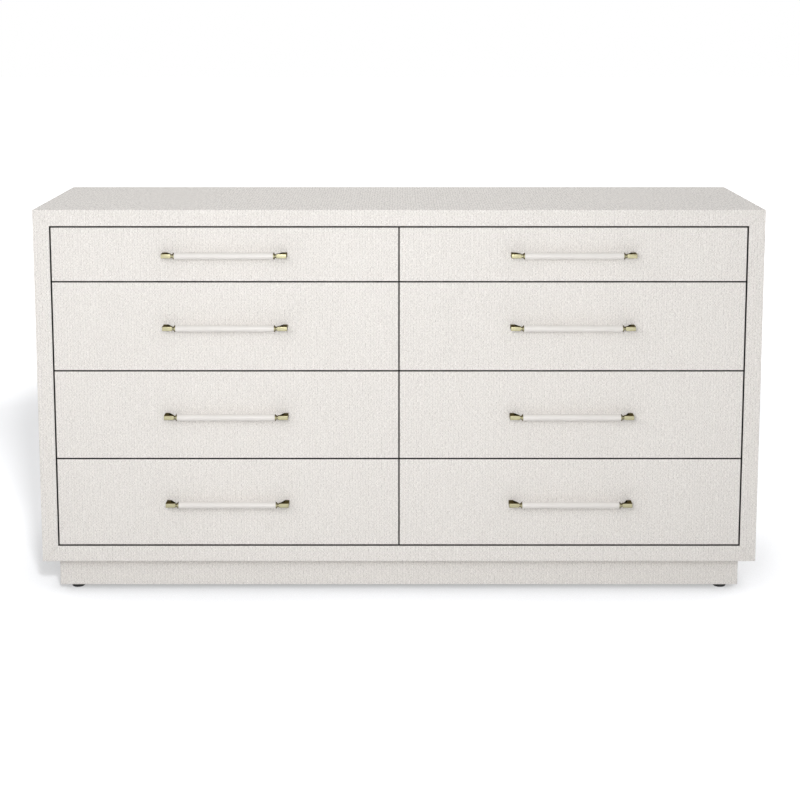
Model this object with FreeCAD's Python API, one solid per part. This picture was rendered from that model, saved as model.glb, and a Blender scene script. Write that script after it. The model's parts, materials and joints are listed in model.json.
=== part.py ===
import FreeCAD, Part

# Double dresser: a mitred case on a recessed plinth, with two columns of inset drawers.
#
# Millimetres, +Z up. The fronts face -Y and X runs along the width. The origin is on the floor, at the
# middle of the object's own box. Every piece is a solid of its own, and one STEP file is written for
# each node: parts/NODE.step.

import math
import os

# ---- Case -------------------------------------------------------------------------------------
CASE_WIDTH = 1676.0
CASE_HEIGHT = 832.0           # from the underside of the bottom panel to the top
CASE_DEPTH = 508.0
CASE_BOARD = 38.0             # thickness of the four mitred boards
EDGE_ROUND = 1.5              # wrapped edges are this soft
MITRE_LINE = 0.3              # dark line between two boards that meet in a mitre
BACK_THICKNESS = 12.0
BACK_REBATE = 10.0            # how far the back panel reaches into each board
PARTITION_THICKNESS = 25.0
PARTITION_SETBACK = 1.0       # from the back of the drawer fronts

# ---- Plinth -----------------------------------------------------------------------------------
PLINTH_HEIGHT = 68.0
PLINTH_RECESS = 34.0          # behind the case's faces, on all four sides
PLINTH_BOARD = 22.0
CORNER_BLOCK = 48.0           # glue blocks inside the plinth's corners
CORNER_BLOCK_HEIGHT = 60.0
CORNER_BLOCK_CHAMFER = 14.0

GLIDE_HEIGHT = 14.0
GLIDE_DIAMETER = 30.0
GLIDE_TOP_DIAMETER = 24.0
GLIDE_INSET = 36.0            # centre of a glide behind the plinth's faces
GLIDE_RECESS_DEPTH = 7.0      # the screw's head sits up in the glide
GLIDE_SCREW_DIAMETER = 5.0
GLIDE_SCREW_HEAD = 10.0
GLIDE_SCREW_HEAD_HEIGHT = 3.0
GLIDE_SCREW_LENGTH = 32.0     # under the head

# ---- Drawers ----------------------------------------------------------------------------------
DRAWER_ROWS = ("bottom", "lower", "upper", "top")
DRAWER_COLUMNS = ("left", "right")
GAP = 3.0                     # around and between the inset fronts
TOP_FRONT_HEIGHT = 124.0      # the other rows share what is left
FRONT_THICKNESS = 20.0

BOX_LIFT = 12.0               # lower edge of the box above the front's lower edge
BOX_HEADROOM = 27.0           # upper edge of the box below the front's upper edge
BOX_REAR_ROOM = 21.0          # behind a closed drawer box, in front of the back panel
BOX_BOARD = 13.0
BOTTOM_THICKNESS = 6.0
BOTTOM_LIFT = 10.0            # drawer bottom above the box's lower edge
GROOVE_DEPTH = 6.0
GROOVE_CLEARANCE = 0.2
GLUE_LINE = 0.1               # between boards that are glued together
TAIL_PITCH = 38.0             # about one dovetail in this much height
TAIL_SLOPE = 1.0 / 7.0
PIN_WIDTH = 9.0               # between two tails, at the tails' wide ends

# ---- Telescopic runners -----------------------------------------------------------------------
RUNNER_WIDTH = 12.7           # room between the drawer box and the case
RUNNER_HEIGHT = 45.0
RUNNER_SHEET = 1.2
RUNNER_BEND = 2.0             # outside radius of the folded edges
RUNNER_CLEARANCE = 0.3        # between members that slide on each other
RUNNER_SETBACK = 4.0          # behind the drawer fronts
RUNNER_REAR_ROOM = 22.0       # in front of the back panel
RUNNER_LIP = 3.0              # a member's flange ends this far from the next surface

# ---- Pulls ------------------------------------------------------------------------------------
PULL_LENGTH = 286.0
PULL_AXIS_OUT = 26.0          # the grip's centre line in front of the drawer
GRIP_DIAMETER = 15.0
BAR_SIZE = 10.0               # square bar of the bracket
BAR_LENGTH = 23.0
BAR_EDGE_CHAMFER = 0.8        # along the front edges of the bar
POST_WIDTH = 11.0
POST_FILLET = 2.0             # in the corner between bar and post
COLLAR_LENGTH = 7.0           # flared part that meets the grip
COLLAR_NECK_DIAMETER = 8.0
COLLAR_RIM = 2.2              # width of the straight rim at the wide end
COLLAR_STEPS = 3              # cones that make up the flare
SPIGOT_DIAMETER = 6.0         # goes into the end of the grip
SPIGOT_LENGTH = 16.0
SPIGOT_CLEARANCE = 0.3

PULL_SCREW_DIAMETER = 4.0
PULL_SCREW_HEAD = 8.0
PULL_SCREW_HEAD_HEIGHT = 2.6
PULL_SCREW_BITE = 12.0        # thread length inside the post
SCREW_CLEARANCE = 0.3

# ---- Planes and places worked out from the sizes above ------------------------------------------
PULL_REACH = PULL_AXIS_OUT + GRIP_DIAMETER / 2
FACE_Y = (PULL_REACH - CASE_DEPTH) / 2          # front plane of the case and of the drawer fronts
REAR_Y = FACE_Y + CASE_DEPTH
PLINTH_BOTTOM = GLIDE_HEIGHT
CASE_BOTTOM = PLINTH_BOTTOM + PLINTH_HEIGHT
CASE_TOP = CASE_BOTTOM + CASE_HEIGHT
OPENING_HALF = CASE_WIDTH / 2 - CASE_BOARD
OPENING_BOTTOM = CASE_BOTTOM + CASE_BOARD
OPENING_TOP = CASE_TOP - CASE_BOARD
BACK_PANEL_FRONT = REAR_Y - BACK_THICKNESS
FRONT_BACK_Y = FACE_Y + FRONT_THICKNESS         # rear face of the drawer fronts
BOX_REAR_Y = BACK_PANEL_FRONT - BOX_REAR_ROOM
RUNNER_Y = (FRONT_BACK_Y + RUNNER_SETBACK, BACK_PANEL_FRONT - RUNNER_REAR_ROOM)

LOWER_ROWS = len(DRAWER_ROWS) - 1
FRONT_WIDTH = (2 * OPENING_HALF - GAP * (len(DRAWER_COLUMNS) + 1)) / len(DRAWER_COLUMNS)
LOWER_FRONT_HEIGHT = (OPENING_TOP - OPENING_BOTTOM - TOP_FRONT_HEIGHT
                      - GAP * (len(DRAWER_ROWS) + 1)) / LOWER_ROWS

OVERCUT = 1.0                 # cutting tools reach this far past the material

X_AXIS = FreeCAD.Vector(1, 0, 0)
Y_AXIS = FreeCAD.Vector(0, 1, 0)
Z_AXIS = FreeCAD.Vector(0, 0, 1)


# ---- Shared helpers ----------------------------------------------------------------------------
def block(x_span, y_span, z_span):
    """A box between two limits along each axis."""
    low = FreeCAD.Vector(min(x_span), min(y_span), min(z_span))
    size = [abs(span[1] - span[0]) for span in (x_span, y_span, z_span)]
    return Part.makeBox(*size, low)


def prism(points, sweep):
    """A straight prism on a polygon of (x, y, z) points."""
    corners = [FreeCAD.Vector(*point) for point in points]
    return Part.Face(Part.makePolygon(corners + corners[:1])).extrude(sweep)


def lathe(profile, base, axis):
    """A turned solid. The profile is (radius, distance along the axis) pairs from base."""
    corners = [FreeCAD.Vector(radius, 0, along) for radius, along in profile]
    solid = Part.Face(Part.makePolygon(corners + corners[:1])).revolve(FreeCAD.Vector(), Z_AXIS, 360)
    turn = FreeCAD.Rotation(Z_AXIS, axis)
    return solid.transformed(FreeCAD.Placement(base, turn).toMatrix())


def rod(radius, length, base, axis):
    return Part.makeCylinder(radius, length, base, axis)


def on_plane(edge, axis, value):
    """Whether an edge lies in the plane where the coordinate named axis has this value."""
    return all(abs(getattr(vertex.Point, axis) - value) < 1e-6 for vertex in edge.Vertexes)


def along(edge, direction):
    """Whether a straight edge runs along a direction."""
    if not isinstance(edge.Curve, Part.Line):
        return False
    return abs(abs(edge.Curve.Direction.dot(direction)) - 1) < 1e-9


def mirror_x(shape, x_centre=0.0):
    return shape.mirror(FreeCAD.Vector(x_centre, 0, 0), X_AXIS)


# ---- Case --------------------------------------------------------------------------------------
def case_ring():
    """The whole case before it is parted: soft outside edges, opening and rebate for the back."""
    ring = block((-CASE_WIDTH / 2, CASE_WIDTH / 2), (FACE_Y, REAR_Y), (CASE_BOTTOM, CASE_TOP))
    ring = ring.makeFillet(EDGE_ROUND, ring.Edges)
    opening = block((-OPENING_HALF, OPENING_HALF), (FACE_Y - OVERCUT, REAR_Y + OVERCUT),
                    (OPENING_BOTTOM, OPENING_TOP))
    ring = ring.cut(opening)
    mouth = [edge for edge in ring.Edges if on_plane(edge, "y", FACE_Y)
             and (on_plane(edge, "x", -OPENING_HALF) or on_plane(edge, "x", OPENING_HALF)
                  or on_plane(edge, "z", OPENING_BOTTOM) or on_plane(edge, "z", OPENING_TOP))]
    return ring.makeFillet(EDGE_ROUND, mouth).cut(back_panel())


def parted_at_mitres(ring, outer, inner, place):
    """The low, high, left and right boards of a ring that is mitred at 45 degrees.

    outer and inner are the ring's outside and inside, each as (half width, low, high). place turns
    a corner (x, v) and a side, 0 or 1, into a point on one of the ring's two open faces. Each board
    stays half a mitre line clear of the 45-degree planes, which shortens its edges by slack.
    """
    (out_half, out_low, out_high), (in_half, in_low, in_high) = outer, inner
    slack = MITRE_LINE / math.sqrt(2)
    out_x, in_x = out_half - slack, in_half - slack
    low = [(-out_x, out_low), (out_x, out_low), (in_x, in_low), (-in_x, in_low)]
    high = [(-out_x, out_high), (out_x, out_high), (in_x, in_high), (-in_x, in_high)]
    left = [(-out_half, out_high - slack), (-out_half, out_low + slack),
            (-in_half, in_low + slack), (-in_half, in_high - slack)]
    right = [(-x, v) for x, v in left]
    boards = []
    for corners in (low, high, left, right):
        sweep = FreeCAD.Vector(*place(*corners[0], 1)) - FreeCAD.Vector(*place(*corners[0], 0))
        boards.append(ring.common(prism([place(x, v, 0) for x, v in corners], sweep)))
    return boards


def case_boards():
    """The case's four boards, which run from front to back."""
    def place(x, z, side):
        return x, (FACE_Y, REAR_Y)[side], z

    names = ("bottom_panel", "top_panel", "left_side_panel", "right_side_panel")
    boards = parted_at_mitres(case_ring(), (CASE_WIDTH / 2, CASE_BOTTOM, CASE_TOP),
                              (OPENING_HALF, OPENING_BOTTOM, OPENING_TOP), place)
    return dict(zip(names, boards))


def back_panel():
    reach = OPENING_HALF + BACK_REBATE
    return block((-reach, reach), (BACK_PANEL_FRONT, REAR_Y),
                 (OPENING_BOTTOM - BACK_REBATE, OPENING_TOP + BACK_REBATE))


def centre_partition():
    half = PARTITION_THICKNESS / 2
    return block((-half, half), (FRONT_BACK_Y + PARTITION_SETBACK, BACK_PANEL_FRONT),
                 (OPENING_BOTTOM, OPENING_TOP))


# ---- Plinth ------------------------------------------------------------------------------------
PLINTH_HALF_X = CASE_WIDTH / 2 - PLINTH_RECESS
PLINTH_FRONT = FACE_Y + PLINTH_RECESS
PLINTH_REAR = REAR_Y - PLINTH_RECESS
PLINTH_MIDDLE = (PLINTH_FRONT + PLINTH_REAR) / 2


def plinth_rails():
    """Front, rear and end rails with mitred corners, and a cross rail that carries the middle."""
    def place(x, y, side):
        return x, y, z_span[side]

    inner_half = PLINTH_HALF_X - PLINTH_BOARD
    inner_y = (PLINTH_FRONT + PLINTH_BOARD, PLINTH_REAR - PLINTH_BOARD)
    z_span = (PLINTH_BOTTOM, CASE_BOTTOM)
    ring = block((-PLINTH_HALF_X, PLINTH_HALF_X), (PLINTH_FRONT, PLINTH_REAR), z_span)
    soft = [edge for edge in ring.Edges if not on_plane(edge, "z", CASE_BOTTOM)]
    ring = ring.makeFillet(EDGE_ROUND, soft)
    ring = ring.cut(block((-inner_half, inner_half), inner_y, z_span))
    boards = parted_at_mitres(ring, (PLINTH_HALF_X, PLINTH_FRONT, PLINTH_REAR),
                              (inner_half, *inner_y), place)
    cross = block((-PLINTH_BOARD / 2, PLINTH_BOARD / 2), inner_y, z_span)
    return boards + [cross]


def at_plinth_corners(piece):
    """Four copies of a piece that is modelled in the left front corner."""
    left_rear = piece.mirror(FreeCAD.Vector(0, PLINTH_MIDDLE, 0), Y_AXIS)
    return [piece, left_rear, mirror_x(piece), mirror_x(left_rear)]


def glide_centre():
    return (-PLINTH_HALF_X + GLIDE_INSET, PLINTH_FRONT + GLIDE_INSET)


def corner_block():
    """A glue block with its inner corner cut off, bored for the glide's screw."""
    x = -PLINTH_HALF_X + PLINTH_BOARD
    y = PLINTH_FRONT + PLINTH_BOARD
    far = CORNER_BLOCK - CORNER_BLOCK_CHAMFER
    outline = [(x, y), (x + CORNER_BLOCK, y), (x + CORNER_BLOCK, y + far),
               (x + far, y + CORNER_BLOCK), (x, y + CORNER_BLOCK)]
    body = prism([(px, py, PLINTH_BOTTOM) for px, py in outline], Z_AXIS * CORNER_BLOCK_HEIGHT)
    hole = rod(GLIDE_SCREW_DIAMETER / 2 + SCREW_CLEARANCE, GLIDE_SCREW_LENGTH,
               FreeCAD.Vector(*glide_centre(), PLINTH_BOTTOM), Z_AXIS)
    return body.cut(hole)


def glide():
    """A turned foot, wider at the floor, with a soft lower edge and a counterbore for its screw."""
    foot = GLIDE_DIAMETER / 2
    shank = GLIDE_SCREW_DIAMETER / 2 + SCREW_CLEARANCE
    head = GLIDE_SCREW_HEAD / 2 + SCREW_CLEARANCE
    edge = EDGE_ROUND
    profile = [(head, 0), (foot - edge, 0), (foot, edge), (foot, GLIDE_HEIGHT / 2),
               (GLIDE_TOP_DIAMETER / 2, GLIDE_HEIGHT), (shank, GLIDE_HEIGHT),
               (shank, GLIDE_RECESS_DEPTH), (head, GLIDE_RECESS_DEPTH)]
    return lathe(profile, FreeCAD.Vector(*glide_centre(), 0), Z_AXIS)


def glide_screw():
    """A pan-head wood screw whose head bears on the glide's counterbore."""
    head_base = GLIDE_RECESS_DEPTH - GLIDE_SCREW_HEAD_HEIGHT
    tip = GLIDE_RECESS_DEPTH + GLIDE_SCREW_LENGTH
    radius = GLIDE_SCREW_DIAMETER / 2
    head = GLIDE_SCREW_HEAD / 2
    profile = [(0, head_base), (head, head_base), (head, GLIDE_RECESS_DEPTH),
               (radius, GLIDE_RECESS_DEPTH), (radius, tip - 2 * radius), (0, tip)]
    return lathe(profile, FreeCAD.Vector(*glide_centre(), 0), Z_AXIS)


# ---- Telescopic runners ------------------------------------------------------------------------
def channel(inner_x, outer_x, half_height, z_centre):
    """A C-shaped member folded from sheet: its web is at inner_x, its flanges end at outer_x."""
    way = math.copysign(1, outer_x - inner_x)
    skin = block((inner_x, outer_x), RUNNER_Y, (z_centre - half_height, z_centre + half_height))
    outside = [edge for edge in skin.Edges if along(edge, Y_AXIS) and on_plane(edge, "x", inner_x)]
    core_half = half_height - RUNNER_SHEET
    core = block((inner_x + way * RUNNER_SHEET, outer_x + way * OVERCUT), RUNNER_Y,
                 (z_centre - core_half, z_centre + core_half))
    return skin.makeFillet(RUNNER_BEND, outside).cut(core)


def runner(case_x, way, z_centre):
    """The three nested members on one side of a drawer.

    case_x is the face that the case member is screwed to, and way is +1 where the drawer lies on its
    +X side. The case member is the widest channel. The middle member runs inside it, and the drawer
    member, whose web is screwed to the drawer box, runs inside the middle one.
    """
    step = RUNNER_SHEET + RUNNER_CLEARANCE
    half = RUNNER_HEIGHT / 2
    drawer_x = case_x + way * RUNNER_WIDTH
    case_member = channel(case_x, drawer_x - way * RUNNER_LIP, half, z_centre)
    middle_member = channel(case_x + way * step, drawer_x - way * (RUNNER_LIP - step / 2),
                            half - step, z_centre)
    drawer_member = channel(drawer_x, case_x + way * (step + RUNNER_LIP), half - 2 * step, z_centre)
    return case_member, middle_member, drawer_member


# ---- Drawers -----------------------------------------------------------------------------------
class DrawerPlace:
    """Where one drawer is: its front, its box and the two faces that its runners are screwed to."""

    def __init__(self, row, column):
        level = DRAWER_ROWS.index(row)
        side = DRAWER_COLUMNS.index(column)
        left = -OPENING_HALF + GAP + side * (FRONT_WIDTH + GAP)
        base = OPENING_BOTTOM + GAP + level * (LOWER_FRONT_HEIGHT + GAP)
        height = TOP_FRONT_HEIGHT if row == "top" else LOWER_FRONT_HEIGHT
        self.front_x = (left, left + FRONT_WIDTH)
        self.front_z = (base, base + height)
        partition = PARTITION_THICKNESS / 2
        self.bay_x = (-OPENING_HALF, -partition) if side == 0 else (partition, OPENING_HALF)
        self.box_x = (self.bay_x[0] + RUNNER_WIDTH, self.bay_x[1] - RUNNER_WIDTH)
        self.box_y = (FRONT_BACK_Y, BOX_REAR_Y)
        self.box_z = (base + BOX_LIFT, base + height - BOX_HEADROOM)
        self.pull_x = left + FRONT_WIDTH / 2
        self.pull_z = base + height / 2
        self.runner_z = (self.box_z[0] + self.box_z[1]) / 2


def screw_axes(place):
    """Where the two pull screws start: the centres of the posts' feet on the drawer front."""
    offset = PULL_LENGTH / 2 - POST_WIDTH / 2
    return [FreeCAD.Vector(place.pull_x + way * offset, FACE_Y, place.pull_z) for way in (-1, 1)]


def bore_for_screws(board, place):
    """A board of the drawer with clearance holes for the two pull screws."""
    for centre in screw_axes(place):
        through = FRONT_THICKNESS + BOX_BOARD + OVERCUT
        hole = rod(PULL_SCREW_DIAMETER / 2 + SCREW_CLEARANCE, through, centre, Y_AXIS)
        board = board.cut(hole)
    return board


def drawer_front(place):
    """The wrapped front: its face has soft edges, and the four narrow sides are square at the back."""
    front = block(place.front_x, (FACE_Y, FRONT_BACK_Y), place.front_z)
    soft = [edge for edge in front.Edges if on_plane(edge, "y", FACE_Y)]
    return bore_for_screws(front.makeFillet(EDGE_ROUND, soft), place)


def tail_prisms(x_span, y_end, y_way, z_span, margin):
    """The dovetails at one end of a side board, as prisms through its thickness.

    They are widest at the end of the board and narrow towards the shoulder, and they share the
    board's height evenly. Each has a root as long as the glue line at the shoulder. margin makes
    them wider and longer, for the sockets that receive them.
    """
    height = z_span[1] - z_span[0]
    count = max(2, round(height / TAIL_PITCH))
    pitch = height / count
    wide = (pitch - PIN_WIDTH) / 2 + margin
    narrow = wide - BOX_BOARD * TAIL_SLOPE
    shoulder = y_end + y_way * BOX_BOARD
    root = shoulder + y_way * GLUE_LINE
    reach = y_end - y_way * margin
    tails = []
    for index in range(count):
        z = z_span[0] + pitch * (index + 0.5)
        half_outline = [(root, narrow), (shoulder, narrow), (reach, wide)]
        outline = [(x_span[0], y, z + half) for y, half in half_outline]
        outline += [(x_span[0], y, z - half) for y, half in reversed(half_outline)]
        tails.append(prism(outline, X_AXIS * (x_span[1] - x_span[0])))
    return tails


def side_board(place, x_span):
    """A drawer side: a board between the shoulders, with dovetails at both ends."""
    y_front, y_rear = place.box_y
    shoulder = BOX_BOARD + GLUE_LINE
    board = block(x_span, (y_front + shoulder, y_rear - shoulder), place.box_z)
    tails = tail_prisms(x_span, y_front, 1, place.box_z, 0.0)
    tails += tail_prisms(x_span, y_rear, -1, place.box_z, 0.0)
    return board.multiFuse(tails).removeSplitter()


def end_board(place, y_end, y_way):
    """The inner front or the back of a drawer box: a board with sockets for the sides' tails."""
    board = block(place.box_x, (y_end, y_end + y_way * BOX_BOARD), place.box_z)
    left = (place.box_x[0] - GLUE_LINE, place.box_x[0] + BOX_BOARD + GLUE_LINE)
    right = (place.box_x[1] - BOX_BOARD - GLUE_LINE, place.box_x[1] + GLUE_LINE)
    for x_span in (left, right):
        board = board.cut(Part.Compound(tail_prisms(x_span, y_end, y_way, place.box_z, GLUE_LINE)))
    return board


def bottom_board(place, clearance):
    """The drawer bottom, which reaches into a groove in all four boards."""
    inset = BOX_BOARD - GROOVE_DEPTH - clearance
    low = place.box_z[0] + BOTTOM_LIFT - clearance
    return block((place.box_x[0] + inset, place.box_x[1] - inset),
                 (place.box_y[0] + inset, place.box_y[1] - inset),
                 (low, low + BOTTOM_THICKNESS + 2 * clearance))


def drawer_box(place):
    """Two sides, inner front, back and bottom."""
    left = side_board(place, (place.box_x[0], place.box_x[0] + BOX_BOARD))
    right = side_board(place, (place.box_x[1] - BOX_BOARD, place.box_x[1]))
    inner_front = bore_for_screws(end_board(place, place.box_y[0], 1), place)
    back = end_board(place, place.box_y[1], -1)
    groove = bottom_board(place, GROOVE_CLEARANCE)
    boards = [board.cut(groove) for board in (left, right, inner_front, back)]
    return boards + [bottom_board(place, 0.0)]


# ---- Pulls -------------------------------------------------------------------------------------
def collar_profile():
    """Half section of collar and spigot: a quarter ellipse flares out from neck to rim."""
    rim = GRIP_DIAMETER / 2
    neck = COLLAR_NECK_DIAMETER / 2
    spigot = SPIGOT_DIAMETER / 2
    flare_length = COLLAR_LENGTH - COLLAR_RIM
    flare = []
    for step in range(COLLAR_STEPS + 1):
        angle = math.pi / 2 * step / COLLAR_STEPS
        flare.append((rim - (rim - neck) * math.cos(angle), flare_length * math.sin(angle)))
    tip = COLLAR_LENGTH + SPIGOT_LENGTH
    return [(0, 0)] + flare + [(rim, COLLAR_LENGTH), (spigot, COLLAR_LENGTH), (spigot, tip), (0, tip)]


def bracket(place):
    """The left bracket of a pull: post and square bar in one piece, collar and spigot turned on it."""
    axis_y = FACE_Y - PULL_AXIS_OUT
    half = BAR_SIZE / 2
    x_end = place.pull_x - PULL_LENGTH / 2
    x_post = x_end + POST_WIDTH
    x_bar = x_end + BAR_LENGTH
    outline = [(x_end, FACE_Y), (x_end, axis_y - half), (x_bar, axis_y - half),
               (x_bar, axis_y + half), (x_post, axis_y + half), (x_post, FACE_Y)]
    ell = prism([(x, y, place.pull_z - half) for x, y in outline], Z_AXIS * BAR_SIZE)
    corner = [edge for edge in ell.Edges if along(edge, Z_AXIS)
              and on_plane(edge, "x", x_post) and on_plane(edge, "y", axis_y + half)]
    ell = ell.makeFillet(POST_FILLET, corner)
    front = [edge for edge in ell.Edges if on_plane(edge, "y", axis_y - half)
             and not on_plane(edge, "x", x_bar)]
    ell = ell.makeChamfer(BAR_EDGE_CHAMFER, front)
    collar = lathe(collar_profile(), FreeCAD.Vector(x_bar, axis_y, place.pull_z), X_AXIS)
    thread = rod(PULL_SCREW_DIAMETER / 2 + SCREW_CLEARANCE, PULL_SCREW_BITE + OVERCUT,
                 screw_axes(place)[0], -Y_AXIS)
    return ell.fuse(collar).cut(thread)


def pull_screw(centre):
    """A machine screw from inside the drawer box, through both boards, into a post."""
    head_y = FRONT_THICKNESS + BOX_BOARD
    head = PULL_SCREW_HEAD / 2
    radius = PULL_SCREW_DIAMETER / 2
    tip = head_y + PULL_SCREW_BITE
    profile = [(0, -PULL_SCREW_HEAD_HEIGHT), (head, -PULL_SCREW_HEAD_HEIGHT), (head, 0),
               (radius, 0), (radius, tip), (0, tip)]
    return lathe(profile, centre + Y_AXIS * head_y, -Y_AXIS)


def pull_brackets(place):
    """Both brackets with the screws that hold them."""
    left = bracket(place)
    return [left, mirror_x(left, place.pull_x)] + [pull_screw(centre) for centre in screw_axes(place)]


def pull_grip(place):
    """The round grip between the collars, bored at both ends for the brackets' spigots."""
    length = PULL_LENGTH - 2 * (BAR_LENGTH + COLLAR_LENGTH)
    start = FreeCAD.Vector(place.pull_x - length / 2, FACE_Y - PULL_AXIS_OUT, place.pull_z)
    grip = rod(GRIP_DIAMETER / 2, length, start, X_AXIS)
    bore = rod(SPIGOT_DIAMETER / 2 + SPIGOT_CLEARANCE, SPIGOT_LENGTH + OVERCUT, start, X_AXIS)
    return grip.cut(bore).cut(mirror_x(bore, place.pull_x))


# ---- All nodes ---------------------------------------------------------------------------------
def case_nodes():
    nodes = case_boards()
    nodes["back_panel"] = back_panel()
    nodes["centre_partition"] = centre_partition()
    nodes["plinth_rails"] = plinth_rails()
    nodes["plinth_corner_blocks"] = at_plinth_corners(corner_block())
    nodes["plinth_glides"] = at_plinth_corners(glide())
    nodes["glide_screws"] = at_plinth_corners(glide_screw())
    return nodes


def drawer_nodes(row, column):
    """The nodes of one drawer, and the case members of its two runners."""
    place = DrawerPlace(row, column)
    left = runner(place.bay_x[0], 1, place.runner_z)
    right = runner(place.bay_x[1], -1, place.runner_z)
    name = f"{row}_{column}"
    nodes = {
        f"{name}_drawer_front": drawer_front(place),
        f"{name}_drawer_box": drawer_box(place),
        f"{name}_pull_grip": pull_grip(place),
        f"{name}_pull_brackets": pull_brackets(place),
        f"{name}_middle_runners": [left[1], right[1]],
        f"{name}_drawer_runners": [left[2], right[2]],
    }
    return nodes, [left[0], right[0]]


def all_nodes():
    nodes = case_nodes()
    for column in DRAWER_COLUMNS:
        case_members = []
        for row in DRAWER_ROWS:
            moving, fixed = drawer_nodes(row, column)
            nodes.update(moving)
            case_members += fixed
        nodes[f"{column}_case_runners"] = case_members
    return nodes


def main():
    os.makedirs("parts", exist_ok=True)
    for name, shapes in all_nodes().items():
        solids = shapes if isinstance(shapes, list) else [shapes]
        shape = solids[0] if len(solids) == 1 else Part.Compound(solids)
        shape.exportStep(os.path.join("parts", name + ".step"))
        print(f"{name}: {len(shape.Solids)} solids, valid {shape.isValid()}")


main()
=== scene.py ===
"""Finishes a double dresser: woven wrap, bar pulls, drawer boxes, runners, feet, and a studio.

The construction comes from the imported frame. Boards, fronts, runners and feet keep its meshes and
get their finish here. Pulls are made here and drawer boxes parted into their boards, in metres,
where the frame says. X runs along the width, the fronts face -Y and Z points up.
"""

import json
import math

import bmesh
import bpy
import numpy as np
from bpy.props import FloatProperty, FloatVectorProperty, PointerProperty
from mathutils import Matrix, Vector

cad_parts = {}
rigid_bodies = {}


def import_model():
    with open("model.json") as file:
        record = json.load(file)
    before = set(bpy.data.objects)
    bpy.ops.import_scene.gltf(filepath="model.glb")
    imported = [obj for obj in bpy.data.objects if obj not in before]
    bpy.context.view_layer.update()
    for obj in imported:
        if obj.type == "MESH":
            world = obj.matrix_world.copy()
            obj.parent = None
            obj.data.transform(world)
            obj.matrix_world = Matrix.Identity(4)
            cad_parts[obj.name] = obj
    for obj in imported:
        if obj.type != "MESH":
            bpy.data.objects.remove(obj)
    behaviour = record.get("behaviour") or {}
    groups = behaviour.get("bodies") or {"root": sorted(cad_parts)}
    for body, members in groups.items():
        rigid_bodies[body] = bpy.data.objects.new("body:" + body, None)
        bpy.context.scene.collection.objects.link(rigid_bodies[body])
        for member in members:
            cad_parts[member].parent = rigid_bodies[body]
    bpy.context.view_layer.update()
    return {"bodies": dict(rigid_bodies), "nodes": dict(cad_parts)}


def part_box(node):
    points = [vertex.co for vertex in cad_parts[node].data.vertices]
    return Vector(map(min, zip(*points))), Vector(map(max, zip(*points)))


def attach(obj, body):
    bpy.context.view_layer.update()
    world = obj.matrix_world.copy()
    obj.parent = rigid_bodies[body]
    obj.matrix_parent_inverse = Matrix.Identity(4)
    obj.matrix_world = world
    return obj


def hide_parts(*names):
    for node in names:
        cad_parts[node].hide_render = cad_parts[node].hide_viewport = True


bl_info = {
    "name": "Double dresser",
    "version": (1, 0, 0),
    "blender": (4, 5, 0),
    "location": "3D View > Sidebar > Dresser",
    "description": "Dresses the dresser's frame: wrap, pulls, drawer boxes, runners, feet, studio",
    "category": "Object",
}

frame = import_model()

# ---- Places worked out from the frame -----------------------------------------------------------
DRAWERS = sorted(body[:-len("_drawer")] for body in frame["bodies"] if body.endswith("_drawer"))
TOP_LOW, TOP_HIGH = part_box("top_panel")
BOTTOM_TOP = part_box("bottom_panel")[1].z        # floor of the opening
BACK_LOW, BACK_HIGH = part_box("back_panel")
FACE_Y = TOP_LOW.y                              # front plane of the case and of the drawer fronts
REAR_Y = TOP_HIGH.y
OPENING_HALF = -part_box("left_side_panel")[1].x  # half the opening's width
OPENING_MIDDLE = (BOTTOM_TOP + TOP_LOW.z) / 2
OPENING_RISE = (TOP_LOW.z - BOTTOM_TOP) / 2     # half the opening's height

X_AXIS = np.array((1.0, 0.0, 0.0))
Y_AXIS = np.array((0.0, 1.0, 0.0))
FULL_TURN = 2 * math.pi


# ---- Settings -----------------------------------------------------------------------------------
def length(name, description, default):
    return FloatProperty(name=name, description=description, default=default, min=0.0,
                         precision=5, subtype="DISTANCE", unit="LENGTH")


def colour(name, description, default):
    return FloatVectorProperty(name=name, description=description, default=default, size=3,
                               min=0.0, max=1.0, subtype="COLOR")


def share(name, description, default):
    return FloatProperty(name=name, description=description, default=default, min=0.0, max=1.0,
                         subtype="FACTOR")


def number(name, description, default, most):
    return FloatProperty(name=name, description=description, default=default, min=0.0, max=most)


def power(name, description, default):
    return FloatProperty(name=name, description=description, default=default, min=0.0,
                         subtype="POWER", unit="POWER")


class WrapSettings(bpy.types.PropertyGroup):
    """The woven cloth that covers case, plinth and fronts."""

    thread_pitch: length("Thread pitch", "From one thread to the next", 0.0031)
    thread_relief: length("Thread relief", "Height of the weave under its lacquer", 0.0005)
    lacquer: colour("Lacquer", "Colour of the raised threads", (0.96, 0.927, 0.887))
    # Painted shade: the lacquer darkens towards the hollows' colour where the weave is low; this
    # colour is also the dark end of the cloth's random ribs, slubs and specks.
    hollow: colour("Hollows", "Colour between the threads", (0.62, 0.59, 0.56))
    # Painted shade: the edge paint covers the fronts' narrow edges, the walls of the opening and a
    # seam around the back panel, standing in for the shade in the gaps between them; inside the
    # case it is also a dark finish.
    gap_shade_paint: colour("Edge paint", "Dark paint behind the faces of case and fronts",
                       (0.010, 0.008, 0.006))
    gap_shade_starts: length("Edge paint starts", "Behind the front plane", 0.0001)
    seam_shade_width: length("Back seam", "Dark paint that shows around the back panel", 0.003)
    ribs: share("Ribs", "How much every second warp thread stands out", 0.72)
    slubs: share("Slubs", "How much thick and thin stretches of a thread differ", 0.65)
    specks: share("Specks", "How much the lacquer pools in the weave", 0.85)
    gloss: share("Roughness", "Roughness of the satin lacquer", 0.5)
    level_gain: number("Level faces", "How much more the weave's tone stands out on level faces",
                       2.7, most=5.0)


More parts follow.
